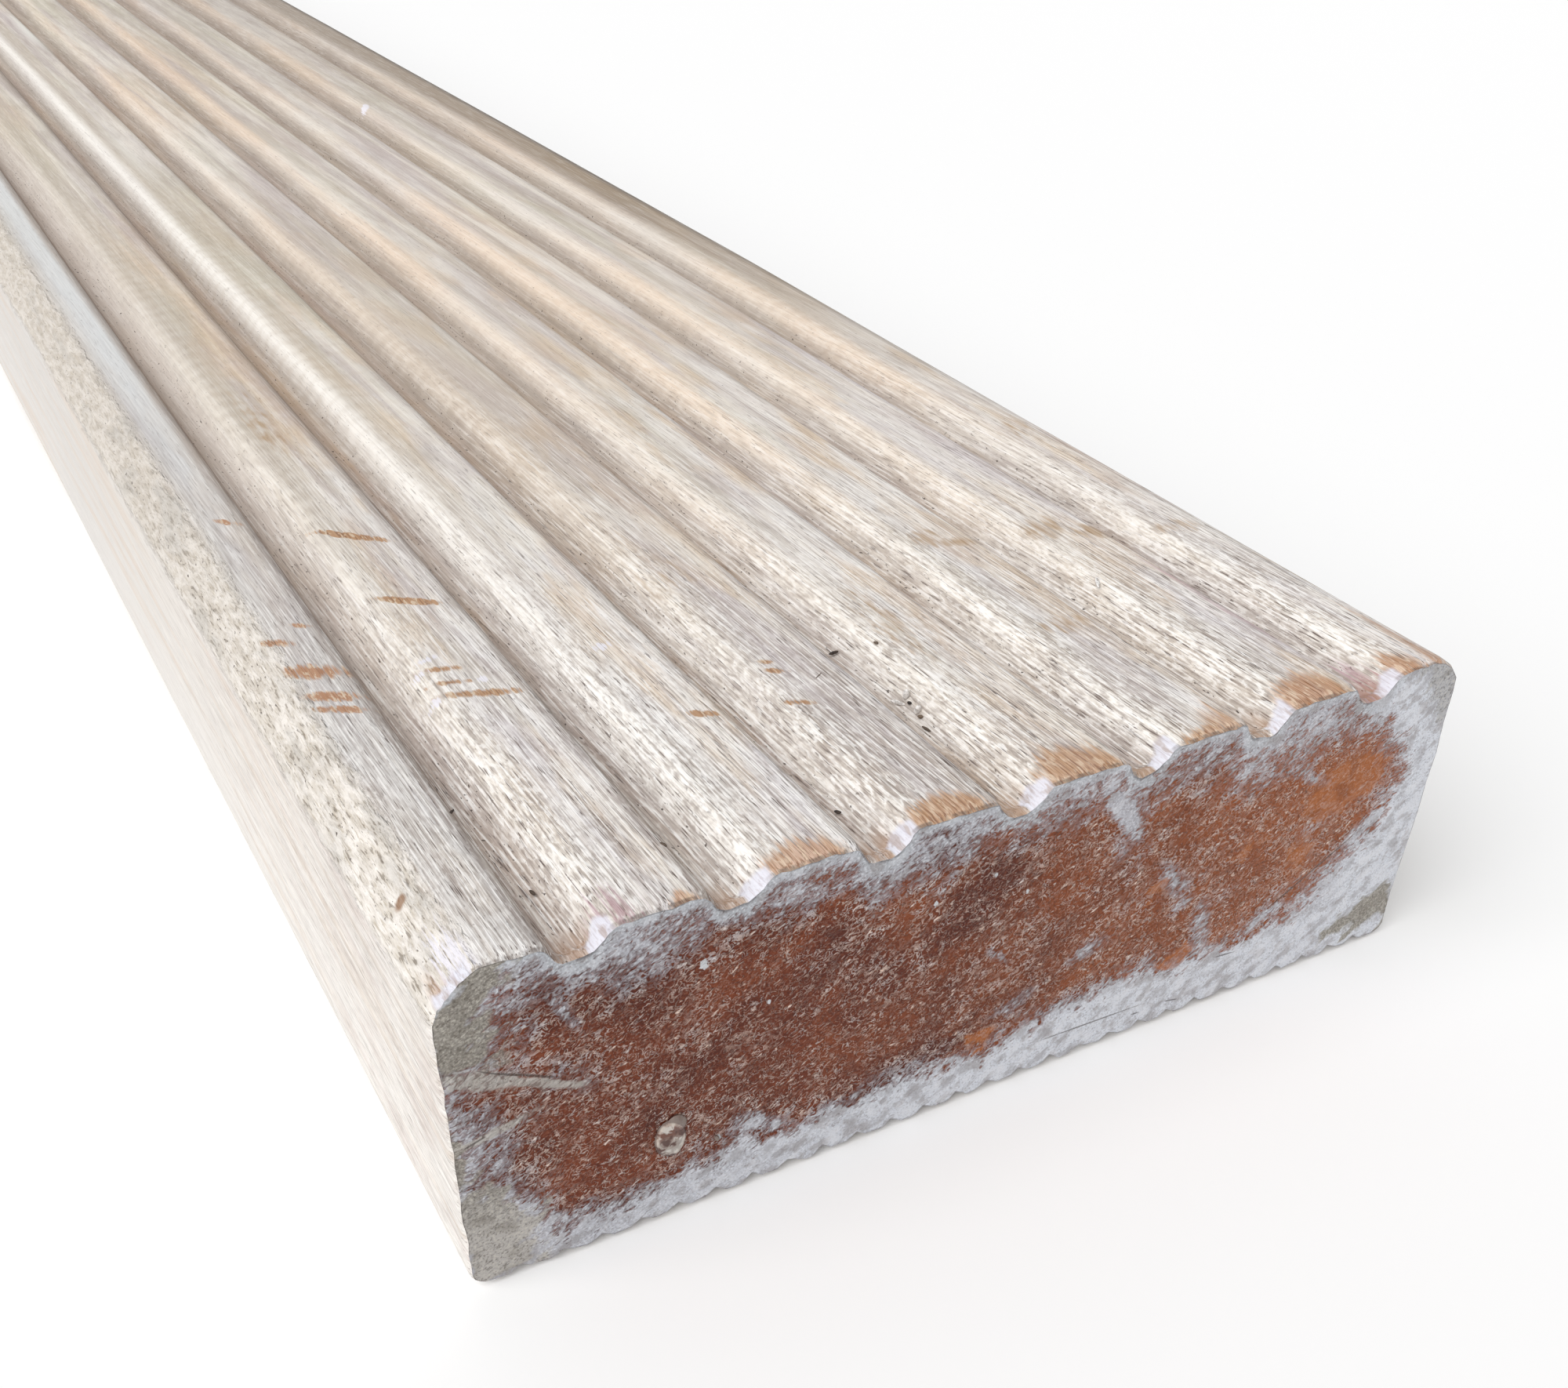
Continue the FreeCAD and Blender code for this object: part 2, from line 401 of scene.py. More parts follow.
# marks on the tread, in mm from the shown end and from the torn arris: middle, half sizes, turn, strength
treadMarks = {
    "stroke": strokes([
        ((107.4, 20.9), (99.8, 29), 0.95, 1.6), ((82, 22.5), (77.2, 29.1), 0.95, 1.6),
        ((68, 6), (64, 12.4), 2, 0.95), ((60.6, 6.4), (57.2, 12.2), 1.3, 1),
        ((57, 6.4), (53.6, 12.2), 0.9, 0.9), ((52.9, 21), (49.7, 29.8), 1, 0.95),
        ((56.2, 20.6), (54.8, 25.6), 0.7, 0.7), ((60.2, 20.4), (58.6, 25.8), 0.8, 0.8),
        ((77.4, 5.2), (74.6, 8.4), 1, 0.7), ((34.6, 46.4), (32.8, 49.3), 0.8, 0.95),
        ((31.6, 58.2), (29.6, 61.4), 0.7, 0.75), ((39.8, 59.8), (38.2, 62.2), 0.7, 0.8),
        ((42.2, 60.2), (41, 62), 0.6, 0.8), ((117.8, 9.1), (114.6, 11.8), 0.8, 0.7),
        ((80.1, 9.7), (78.3, 11.8), 0.7, 0.8)], 0.78, 1.25),
    "smudge": [
        ((63.5, 99.5), (4.6, 3.2), 0.3, 1.2), ((60.5, 103.5), (1.9, 4.8), 0.35, 1.1),
        ((58.5, 118), (5.4, 4.2), 0.9, 1.2), ((54, 124), (3.2, 5), 0.4, 1.1),
        ((32, 102), (3, 5.4), 0.1, 0.8),
        ((49.5, 136.5), (3.4, 4.6), 0.5, 0.8), ((93, 136.5), (6.4, 4.2), 0.5, 0.7),
        ((43, 81.5), (17, 6), 0, 0.6), ((70, 61), (9, 6.5), 0, 0.45), ((152, 26), (30, 4.5), 0, 0.5)],
    "soak": [     # where the wax soaked in round the shown end
        ((0, 44), (6.9, 7.5), 0, 0.85), ((0, 62.75), (7.5, 8.625), 0, 1), ((0, 81.5), (10.5, 9), 0, 1),
        ((0, 101), (3.9, 7.5), 0, 0.8), ((0, 118.5), (11.1, 7.5), 0, 1), ((0, 134.5), (9, 5.25), 0, 0.8),
        ((0, 29), (3.6, 3), 0, 0.8), ((0, 140), (36, 6), 0, 0.42), ((0, 103.5), (10.5, 3.75), 0, 0.6)],
    "stain": [
        ((2, 128.7), (14, 4.5), 0, 1), ((1, 21.5), (9, 4.5), 0, 0.8), ((25, 125), (26, 3.5), 0, 0.6)],
    "scuff": [
        ((52.5, 20.2), (1.3, 1.6), -0.3, 1), ((59.6, 20.8), (1.6, 1.8), -0.3, 1),
        ((54.5, 26.8), (1.4, 1.2), -0.3, 0.9), ((62.4, 22.4), (1.2, 3), -0.3, 0.9),
        ((55.3, 44), (1.5, 2.2), -0.3, 0.9), ((377, 114.8), (6, 1.7), 0.35, 2),
        ((1, 4.2), (12, 2.6), 0, 0.8)],
    "knot": [((16.9, 3.3), (1.2, 0.9), 0, 1)],
    "chalk": [((533, 50.5), (45, 4.5), 0, 1), ((352, 44), (60, 3), 0, 0.5)],
}


def coats(tree, fields, under, layers):
    # lays colours over one another, each as (colour, strength, masks)
    # a mask is a field's name and the two values between which it goes from 0 to 1
    for colour, amount, *masks in layers:
        for name, *slope in masks:
            mask = fields[name]
            if slope:
                mask = put(tree, rangeNode, [mask, slope[0], slope[1]])
            amount = put(tree, "MULTIPLY", [mask, amount])
        under = put(tree, mixNode, {"Factor": amount, "A": under, "B": colour}, data_type="RGBA")
    return under


def dabs(tree, spot, shapes, onEnd=False):
    # soft ellipses on the tread or on the cut end, the strongest showing
    through = 1000.0     # mm, how far they reach across the surface that they lie on
    result = None
    for middle, size, turn, strength in shapes:
        fitted = put(tree, "ShaderNodeMapping", {
            "Vector": spot, "Location": (0, *middle) if onEnd else (*middle, 0),
            "Rotation": (turn, 0, 0) if onEnd else (0, 0, turn),
            "Scale": (through, *size) if onEnd else (*size, through)}, vector_type="TEXTURE")
        dab = put(tree, "ShaderNodeTexGradient", [fitted], gradient_type="SPHERICAL").outputs["Fac"]
        dab = put(tree, "MULTIPLY", [dab, strength])
        result = dab if result is None else put(tree, "MAXIMUM", [result, dab])
    return result


def boardSpot(tree, b):
    # mm: from the shown end, across from the torn arris, up from the underside
    return put(tree, "ShaderNodeMapping", {"Vector": put(tree, "ShaderNodeTexCoord").outputs["Object"],
               "Scale": (-1000, 1000, 1000), "Location": (b["length"] / 2, b["width"] / 2, 0)})


def fieldsOf(tree, spot, pattern, layers, attributes):
    # what the paint reads: the place in mm, noises and the mesh's own values
    # a noise is given by its size in mm, its detail and its warp
    fields = dict(zip(("along", "across", "height"), put(tree, separateNode, [spot]).outputs))
    for label, (size, detail, warp) in layers.items():
        noise = put(tree, noiseNode, {"Vector": put(tree, vectorNode, [pattern, size], operation="DIVIDE"),
                                      "Scale": 1.0, "Detail": detail, "Distortion": warp})
        fields[label] = noise.outputs["Fac"]
        if label in ("cloud", "drift", "patch"):
            fields.update(zip((label + "Red", label + "Green", label + "Blue"), put(
                tree, "ShaderNodeSeparateColor", {0: noise.outputs["Color"]}).outputs))
    for name in attributes:
        fields[name] = put(tree, "ShaderNodeAttribute", attribute_name=name).outputs["Fac"]
    return fields


# bleached hardwood, machine planed and left bare to the weather: dull, pale, streaked along the grain
def weatheredHardwood(b):
    material, tree, shader = newMaterial("weatheredPlanedHardwood")
    spot = boardSpot(tree, b)
    grain = put(tree, "ShaderNodeMapping", {"Vector": spot, "Rotation": (0, 0, 0.02)})
    f = fieldsOf(tree, spot, grain, {
        "fibre": ((10, 0.3, 0.3), 3, 0), "pore": ((3.6, 0.2, 0.2), 1, 0), "strand": ((40, 1.1, 1.1), 4, 0),
        "mottle": ((17, 4.2, 4.2), 4, 0), "nap": ((1.7, 0.5, 0.5), 3, 0.4), "patch": ((30, 6, 6), 3, 0),
        "flake": ((3.6, 1.0, 1.0), 4, 0), "grit": ((0.9, 0.4, 0.4), 1, 0), "pit": ((2.2, 0.32, 0.32), 2, 0),
        "cloud": ((120, 14, 14), 2, 0), "drift": ((85, 2.6, 2.6), 2, 0)}, ["torn"])
    outward = put(tree, "ShaderNodeAttribute", attribute_name="outward").outputs["Vector"]
    f["turned"] = put(tree, separateNode, [outward]).outputs[1]
    f["tread"] = put(tree, rangeNode, [f["height"], 42.6, 42.9])
    f["side"] = put(tree, rangeNode, [put(tree, "ABSOLUTE", [f["turned"]]), 0.92, 0.98])
    # mm from the middle of the nearest groove, straight and wandering with the grain
    half = b["groovePitch"] / 2
    f["phase"] = put(tree, "WRAP", [put(tree, "SUBTRACT", [f["across"], b["width"] / 2]), half, -half])
    f["band"] = put(tree, "ADD", [put(tree, "MULTIPLY_ADD", [f["strand"], 5, -2.5]), f["phase"]])
    f["crisp"] = put(tree, rangeNode, [f["along"], 20, 160, 1, 0.2])
    f["calm"] = put(tree, rangeNode, {"Value": f["side"], "To Min": 1, "To Max": 0.45})
    f["frayed"] = put(tree, rangeNode, [put(tree, "ADD", [f["flake"], f["torn"]]), 0.75, 1.05])
    f["pores"] = put(tree, "MULTIPLY_ADD", [f["strand"], 0.2, f["pore"]])
    f["pits"] = put(tree, "MULTIPLY_ADD", [f["flake"], 0.5, f["pit"]])
    shaken = put(tree, "MULTIPLY", [f["mottle"], 9])
    f["ripple"] = put(tree, "SINE", [put(tree, "MULTIPLY_ADD", [f["along"], 1.15, shaken])])
    ragged = put(tree, "SUBTRACT", [put(tree, "ADD", [f["strand"], f["fibre"]]), 1.0])
    wall = (("phase", 0.4, 1.8), ("tread",))
    # the lit shoulders, where the painted highlight lies
    lit = (("band", 0.8, 3.6), ("tread",))
    paint = coats(tree, f, "#efeded", [
        # greyer at the end, beige farther in, in drifts along the grain
        ("#d2c9be", 0.8, ("along", 30, 170)),
        ("#bcb1a7", 0.6, ("mottle", 0.48, 0.32)),
        ("#e4dcd2", 0.6, ("mottle", 0.5, 0.66)),
        ("#d6b794", 0.4, ("cloudRed", 0.5, 0.66), ("along", 20, 160)),
        ("#c3bda6", 0.5, ("cloudGreen", 0.5, 0.66), ("along", 20, 160)),
        ("#beb2b4", 0.45, ("cloudBlue", 0.5, 0.66)), ("#e9e1d6", 0.6, ("driftRed", 0.5, 0.64)),
        ("#b6ab9c", 0.5, ("driftGreen", 0.5, 0.64)), ("#b3a6a3", 0.45, ("driftBlue", 0.5, 0.64)),
        ("#d5ba99", 0.5, ("patchRed", 0.5, 0.61), ("tread",), ("along", 330, 110)),
        ("#b9adb0", 0.35, ("patchGreen", 0.51, 0.62), ("tread",), ("along", 240, 90)),
        ("#f0ebe4", 0.5, ("patchBlue", 0.51, 0.62), ("tread",), ("along", 240, 90)),
        # painted highlight: the shoulders that face the key light painted cream, the last ones with a peach
        # tint over it, darker just past it on the left lands; the third land's shoulder painted nearly white
        # below
        ("#ece5db", 0.75, *lit, ("band", 8.0, 4.4), ("along", 620, 160)),
        # darker just past the painted highlight on the left lands
        ("#bfb3a3", 0.5, ("phase", 4.6, 6.2), ("across", 51, 46), ("along", 40, 130), ("tread",)),
        ("#e6c4a2", 0.4, *lit, ("band", 7.5, 5.0), ("cloudRed", 0.34, 0.54), ("across", 48, 64),
         ("along", 40, 120)),
        # the first land washed grey with a painted bluish highlight farther in, the last one dull towards its
        # edge, and painted shade where it turns over away from the light; the lands towards the far right
        # darker, painted shade
        ("#c4c3c3", 0.55, ("across", 4.5, 6.5), ("across", 14.5, 12), ("tread",)),
        # painted highlight: bluish white on the first land farther in
        ("#e0e4e6", 0.6, ("across", 6.5, 9), ("across", 12.2, 11), ("along", 100, 190), ("tread",)),
        ("#d5d4d7", 0.4, ("across", 32, 35), ("across", 44, 40), ("along", 110, 40), ("tread",)),
        ("#968572", 0.85, ("across", 132, 137), ("along", 90, 260), ("tread",)),
        ("#b2a594", 0.4, ("across", 52, 58), ("across", 72, 66), ("along", 50, 110), ("along", 330, 170),
         ("tread",)),
        ("#aa9e9a", 0.5, ("across", 55, 59), ("across", 71, 66), ("along", 70, 30), ("tread",)),
        # painted shade: the far right of the tread darker
        ("#a79e96", 0.5, ("across", 60, 125), ("along", 280, 520), ("tread",)),
        # painted shade: a dark line where the plain arris turns away from the light
        ("#746c66", 0.8, ("across", 140.6, 142.4), ("along", 90, 260)),
        # painted highlight: the third land's shoulder nearly white
        ("#f8f5f0", 0.7, ("across", 35.6, 37.4), ("across", 41.8, 39.0), ("tread",)),
        # walls and floors of the grooves darker downwards, part dirt and part painted shade deep in the
        # grooves; brown on the walls that face right, part dirt and part painted shade where they face away
        # from the light
        # painted shade with dirt: darker towards the groove floors
        ("#a2968c", 0.5, *wall, ("height", 46.8, 43.4)),
        ("#94887d", 0.55, *wall, ("height", 46.6, 43.4), ("along", 60, 170)),
        ("#a48a75", 0.55, ("height", 45.8, 43.6), ("phase", 2.0, 0.2), ("tread",)),
        # painted shade with dirt: the walls that face right, away from the light
        ("#866b5a", 0.8, ("turned", 0.5, 0.9), ("tread",)),
        # painted shade with dirt: the corner and wall before each groove on the left lands
        ("#7f6b5d", 0.45, ("phase", -5.2, -3.9), ("phase", -1.6, -3.2), ("across", 46, 34), ("tread",)),
        ("#e2dbd2", 0.55, ("across", 14.5, 17.5), ("across", 20, 18.6), ("along", 50, 150), ("tread",)),
        ("#b5a99b", 0.4, ("across", 19.4, 20.6), ("across", 24.5, 22.5), ("along", 60, 160), ("tread",)),
        ("#c6bab2", 0.4, ("height", 45.8, 43.6), ("across", 20.5, 18), ("tread",)),
        # raised flakes on the shoulders
        ("#f4eee5", 0.5, ("flake", 0.5, 0.6), *lit, ("band", 9.5, 5.5), ("along", 220, 40)),
        ("#b2a494", 0.35, ("flake", 0.47, 0.36), *lit, ("band", 9.5, 5.5), ("along", 220, 40)),
        # sides: paler, smoother
        ("#dcd6cf", 0.85, ("side",)),
        ("#e4e0db", 0.7, ("side",), ("height", 26, 14)),
        ("#c9c6c3", 0.7, ("side",), ("along", 30, 220)),
        ("#cfc0b2", 0.5, ("side",), ("driftRed", 0.5, 0.66)),
        ("#cdbdb6", 0.4, ("side",), ("mottle", 0.5, 0.36), ("along", 110, 20)),
        # streaks, fibres and pores
        ("#a3968c", 0.4, ("strand", 0.45, 0.3), ("crisp",), ("calm",)),
        ("#ebe4db", 0.45, ("strand", 0.53, 0.68), ("crisp",)),
        ("#8f827b", 0.6, ("fibre", 0.48, 0.35), ("crisp",), ("calm",)),
        ("#faf7f4", 0.8, ("fibre", 0.52, 0.64), ("crisp",), ("calm",)),
        ("#675b56", 0.95, ("pores", 0.475, 0.395), ("crisp",), ("calm",)),
        # furry nap: short light and dark tufts, and blotches of tan, lilac grey and cream between them
        ("#9d918b", 0.3, ("nap", 0.48, 0.36), ("along", 110, 20), ("calm",)),
        ("#fbf8f5", 0.3, ("nap", 0.53, 0.64), ("along", 110, 20), ("calm",)),
        ("#8f827a", 0.25, ("nap", 0.48, 0.36), *lit, ("band", 9.5, 6.5), ("along", 100, 25)),
        ("#fdfbf8", 0.45, ("nap", 0.52, 0.62), *lit, ("band", 9.5, 6.5), ("along", 100, 25)),
        # a faint line across where the saw stopped, and chatter marks of the planer
        ("#b1a69f", 0.4, ("along", 17.2, 17.7), ("along", 18.4, 17.9), ("across", 18, 21),
         ("across", 100, 85),
         ("fibre", 0.62, 0.45), ("tread",)),
        ("#f1e8db", 0.12, ("ripple", 0.1, 0.9), *lit, ("band", 8.5, 5.5), ("along", 60, 120),
         ("along", 330, 180)),
        ("#b19d83", 0.1, ("ripple", -0.1, -0.9), ("along", 90, 160), ("along", 360, 260), ("across", 19, 22),
         ("across", 68, 40), ("tread",))])
    # torn arris: cream, with dark pits drawn out along the grain
    ivory = coats(tree, f, "#d3cbc0", [
        ("#eee8e1", 1.0, ("flake", 0.4, 0.58)), ("#b5a893", 0.6, ("pore", 0.45, 0.3)),
        ("#b4aca2", 0.48, ("along", 25, 130)), ("#b5b1ab", 0.5, ("mottle", 0.46, 0.34))])
    paint = coats(tree, f, paint, [
        (ivory, 0.9, ("frayed",)),
        ("#7d7266", 0.7, ("pits", 0.65, 0.57), ("frayed",), ("along", 240, 50)),
        ("#5a514c", 0.9, ("grit", 0.69, 0.75), ("height", 46.4, 43.6), ("tread",)),
        ("#5a514c", 0.4, ("grit", 0.72, 0.77), ("tread",))])
    # rubbed strokes and soaked ends show the wood's own orange-brown
    for label, shapes in treadMarks.items():
        f[label] = dabs(tree, spot, shapes)
    for label, mark, fray in (("rubbed", "stroke", 1.7), ("soaked", "soak", 0.6), ("stained", "stain", 2.0),
                              ("scuffed", "scuff", 2.5)):
        f[label] = put(tree, "MULTIPLY_ADD", [ragged, fray, f[mark]])
    f["smeared"] = put(tree, "MULTIPLY_ADD", [put(tree, "ADD", [f["flake"], f["strand"]]), 2.4, f["smudge"]])
    f["run"] = put(tree, "MULTIPLY_ADD", [f["mottle"], 6.5, put(tree, "MULTIPLY", [f["along"], -1])])
    rubbedWood = coats(tree, f, "#b08660", [
        ("#875f42", 0.9, ("fibre", 0.52, 0.4)),
        ("#b17f5f", 0.6, ("across", 15, 13)),
        ("#d8c4aa", 0.8, ("nap", 0.52, 0.62))])
    soakedWood = coats(tree, f, "#bd9067", [
        ("#cfa78d", 0.7, ("across", 60, 45)),
        ("#b87f5a", 0.5, ("across", 105, 115)),
        ("#8b5b39", 0.9, ("fibre", 0.52, 0.4)),
        ("#dcbf9d", 0.7, ("nap", 0.53, 0.64)),
        ("#ab7843", 0.4, ("soaked", 0.6, 0.36))])
    waxRun = coats(tree, f, "#dfdfe9", [
        ("#b5a5a9", 0.4, ("fibre", 0.5, 0.38)), ("#a9968c", 0.6, ("flake", 0.47, 0.38))])
    paint = coats(tree, f, paint, [
        ("#a98a66", 0.65, ("smeared", 2.55, 3.3), ("smudge", 0.02, 0.25), ("tread",)),
        (rubbedWood, 0.88, ("rubbed", 0.12, 0.5), ("stroke", 0.02, 0.2), ("height", 45.6, 46.3)),
        (soakedWood, 0.75, ("soaked", 0.23, 0.42), ("soak", 0.02, 0.14), ("tread",)),
        ("#a9828a", 0.7, ("stained", 0.3, 0.7), ("stain", 0.02, 0.3), ("tread",)),
        ("#8e6849", 0.8, ("knot", 0.1, 0.5)),
        ("#e9e6df", 0.8, ("chalk", 0.1, 0.7), ("tread",)),
        ("#e6e3ea", 0.9, ("scuffed", 0.4, 0.65), ("scuff", 0.02, 0.3), ("tread",)),
        # wax run over the groove walls, and the dark line where the cut meets the tread
        ("#b08a6d", 0.6, ("along", 7, 2.5), ("height", 45.0, 43.8), ("strand", 0.4, 0.52), ("tread",)),
        (waxRun, 0.9, ("run", 0.1, 0.9), ("turned", -0.28, -0.42), ("tread",)),
        ("#5d514b", 0.6, ("along", 1.1, 0.85), ("height", 45.6, 46.5), ("flake", 0.4, 0.54))])
    tree.links.new(paint.outputs[2], shader.inputs["Base Color"])
    shader.inputs["Roughness"].default_value = 0.85
    shader.inputs["Specular IOR Level"].default_value = 0.15
    fine = put(tree, "MULTIPLY", [f["fibre"], put(tree, "MULTIPLY", [f["crisp"], 0.16])])
    relief = put(tree, "MULTIPLY_ADD", [f["flake"], put(tree, "MULTIPLY", [f["frayed"], 0.9]), fine])
    bump = put(tree, "ShaderNodeBump", {"Height": relief, "Distance": 0.001})
    tree.links.new(bump.outputs[0], shader.inputs["Normal"])
    return material


# marks on the shown end, in mm across from the torn arris and up: middle, half sizes, turn, strength
endMarks = {
    "orange": [
        ((128, 31.2), (11.2, 7), 0.25, 1.1), ((102.6, 10.6), (5.88, 3.08), 0.2, 0.8),
        ((122.5, 21.5), (6.16, 7.56), 0.3, 0.6), ((97.5, 24.5), (7, 5.04), -0.4, 0.5),
        ((112.5, 26), (7.7, 3.92), 0.2, 0.5), ((70.5, 9.5), (7.7, 4.48), 0.1, 0.55)],
    "cream": [
        ((99.5, 25), (6.44, 2.38), -0.9, 1), ((106.2, 15.2), (6.16, 2.52), -1.35, 1),
        ((87, 18.2), (5.88, 2.1), 0.4, 0.9), ((75, 13.6), (6.44, 1.96), 0.3, 0.9),
        ((102, 20), (3.64, 1.68), 0.5, 0.9), ((134, 22), (4.2, 2.24), 0.7, 1),
        ((72, 22.6), (3.64, 1.12), -0.8, 0.9), ((121, 34.2), (6.44, 1.68), -0.5, 0.9),
        ((88.6, 39.2), (7.84, 1.82), -0.95, 1.2), ((15, 36.2), (4.76, 1.4), -1.1, 1),
        ((38.5, 9.6), (4.9, 1.68), -0.6, 0.9), ((118, 12), (5.6, 1.4), 0.4, 0.8)],
    "split": [
        ((4.8, 31.6), (7.5, 2.2), -0.4, 1), ((11, 28.6), (9.5, 1.1), -0.48, 1),
        ((5.2, 23.8), (9, 1), 0.19, 0.9)],
    "dots": [
        ((31.1, 37.2), (0.8, 1.12), 0, 1), ((70.1, 35.9), (0.4, 0.56), 0, 1),
        ((75.2, 31.7), (0.4, 0.56), 0, 1), ((61.6, 34.6), (0.5, 0.7), 0, 1), ((32.5, 9.8), (0.5, 0.7), 0, 1),
        ((39.3, 28.5), (0.4, 0.56), 0, 1)],
    "crack": strokes([
        ((76.9, 5.2), (101, 4.3), 0.26, 0.8), ((109.3, 8.1), (114.4, 7.6), 0.26, 0.9),
        ((101.2, 3.5), (105.6, 2.4), 0.26, 0.8), ((1.4, 22.9), (4.6, 23.9), 0.26, 1),
        ((2.5, 34.2), (15.4, 27.2), 0.26, 1), ((113.5, 10.2), (136.5, 23.6), 0.26, 0.9),
        ((96, 3.2), (98, 3), 0.26, 0.9)], 0.6, 1.0),
}


# end grain under brushed-on wax: red-brown where it soaked in clear, cloudy grey where it lies thick
def waxedEndGrain(b):
    material, tree, shader = newMaterial("waxSealedEndGrain")
    spot = boardSpot(tree, b)
    brushed = put(tree, "ShaderNodeMapping", {"Vector": spot, "Rotation": (-0.5, 0, 0)})
    f = fieldsOf(tree, spot, brushed, {
        "thread": ((1, 0.95, 0.62), 3, 0.9), "break": ((1, 2.4, 1.5), 2, 0), "veil": ((9, 9, 5), 3, 0),
        "tone": ((9, 14, 8), 3, 0), "speck": ((0.5, 0.34, 0.27), 2, 0), "edge": ((3, 3.2, 1.8), 5, 0),
        "dash": ((1, 1.0, 0.42), 4, 0.6)}, ["core", "bare", "rim"])
    marks = {label: dabs(tree, spot, shapes, onEnd=True) for label, shapes in endMarks.items()}
    blotched = put(tree, "MULTIPLY_ADD", [f["break"], 0.8, marks["orange"]])
    f["orange"] = put(tree, rangeNode, [blotched, 0.74, 0.84])
    f["orangeSide"] = put(tree, "MULTIPLY_ADD", [f["tone"], 110, f["across"]])
    # how thick the wax lies: at the border, in patches, and more towards the right
    f["depth"] = put(tree, "ADD", [put(tree, "MULTIPLY_ADD", [f["edge"], 8, -4]), f["core"]])
    f["border"] = put(tree, rangeNode, [f["depth"], 5.0, -5.0, 0.06, 0.88])
    thick = put(tree, "MULTIPLY_ADD", [f["veil"], 1.0, f["border"]])
    thick = put(tree, "ADD", [put(tree, rangeNode, [f["across"], 50, 125, -0.5, -0.36]), thick])
    low = put(tree, rangeNode, [f["height"], 15, 8])
    right = put(tree, rangeNode, [f["across"], 124, 134])
    outer = put(tree, rangeNode, [f["depth"], 1.0, -2.0])
    f["heavy"] = put(tree, "MULTIPLY", [put(tree, "MAXIMUM", [low, right]), outer])
    high = put(tree, rangeNode, [f["height"], 38, 42])
    f["lip"] = put(tree, "MULTIPLY", [put(tree, rangeNode, [f["rim"], 1.8, 0.5]), high])
    thick = put(tree, "MULTIPLY_ADD", [put(tree, "MAXIMUM", [f["heavy"], f["lip"]]), 0.5, thick])
    f["thick"] = put(tree, "MULTIPLY_ADD", [marks["cream"], 0.8, thick])
    # threads of wax follow the contours of a noise and widen as it thickens, closing up into a cloudy film
    away = put(tree, "ABSOLUTE", [put(tree, "SUBTRACT", [f["thread"], 0.5])])
    width = put(tree, rangeNode, [f["thick"], 0.0, 0.9, 0.031, 0.16])
    threads = put(tree, rangeNode, [away, width, put(tree, "MULTIPLY", [width, 0.35])])
    broken = put(tree, rangeNode, [f["break"], 0.4, 0.6, 0.2, 0.65])
    threads = put(tree, "MULTIPLY", [threads, broken])
    dashes = put(tree, rangeNode, [put(tree, "MULTIPLY_ADD", [f["thick"], 0.12, f["dash"]]), 0.61, 0.71])
    threads = put(tree, "MAXIMUM", [threads, dashes])
    dense = put(tree, "ADD", [put(tree, "MULTIPLY_ADD", [f["dash"], 2.2, -1.1]), f["thick"]])
    film = put(tree, "MAXIMUM", [put(tree, rangeNode, [dense, 0.47, 0.9]), threads])
    f["film"] = put(tree, "MULTIPLY", [film, put(tree, "MULTIPLY_ADD", [f["orange"], -0.6, 1])])
    f["bareEdge"] = put(tree, "ADD", [put(tree, "MULTIPLY_ADD", [f["edge"], 12, -6]), f["bare"]])
    f["dots"] = marks["dots"]
    for label, mark, noise, fray in (("split", "split", "dash", 0.7), ("chips", "dots", "speck", 1.2),
                                     ("crack", "crack", "edge", 0.6)):
        f[label] = put(tree, "MULTIPLY_ADD", [f[noise], fray, marks[mark]])
    wood = coats(tree, f, "#562416", [
        ("#74371e", 1.0, ("tone", 0.35, 0.66)),
        ("#96522a", 0.95, ("orangeSide", 105, 185)),
        ("#3c1c14", 0.6, ("speck", 0.48, 0.34)),
        ("#90573d", 0.5, ("speck", 0.54, 0.68)),
        ("#a05c2d", 0.9, ("orange",)),
        ("#7a3f1c", 0.6, ("orange",), ("edge", 0.5, 0.4)),
        ("#c07c4e", 0.5, ("orange",), ("speck", 0.55, 0.68))])
    wax = coats(tree, f, "#eed3c2", [
        ("#b3b4bb", 1.0, ("thick", 0.2, 0.5)),
        ("#d6dbe3", 0.9, ("heavy",), ("across", -10, 70)),
        ("#b6bbc0", 0.8, ("lip",)),
        ("#857b7c", 0.5, ("speck", 0.47, 0.34)),
        ("#eceef3", 0.5, ("speck", 0.55, 0.67)),
        ("#8f8785", 0.5, ("break", 0.48, 0.34)),
        ("#dcdee3", 0.4, ("break", 0.53, 0.66)),
        ("#dfe1e6", 0.6, ("edge", 0.52, 0.66), ("heavy",)),
        ("#9c9a9d", 0.6, ("edge", 0.47, 0.34), ("heavy",))])
    dry = coats(tree, f, "#928c83", [
        ("#afaaa5", 1.0, ("height", 20, 8), ("across", 20, 10)),
        ("#b0afb1", 1.0, ("across", 120, 135), ("height", 25, 35)),
        ("#5f584e", 0.7, ("speck", 0.48, 0.3)),
        ("#c6c0b4", 0.7, ("speck", 0.52, 0.7)),
        ("#6f685c", 0.4, ("edge", 0.5, 0.36))])
    splitWood = coats(tree, f, "#b3ada6", [
        ("#857a74", 1.0, ("dash", 0.52, 0.42)), ("#cfcac4", 0.7, ("thread", 0.54, 0.62))])
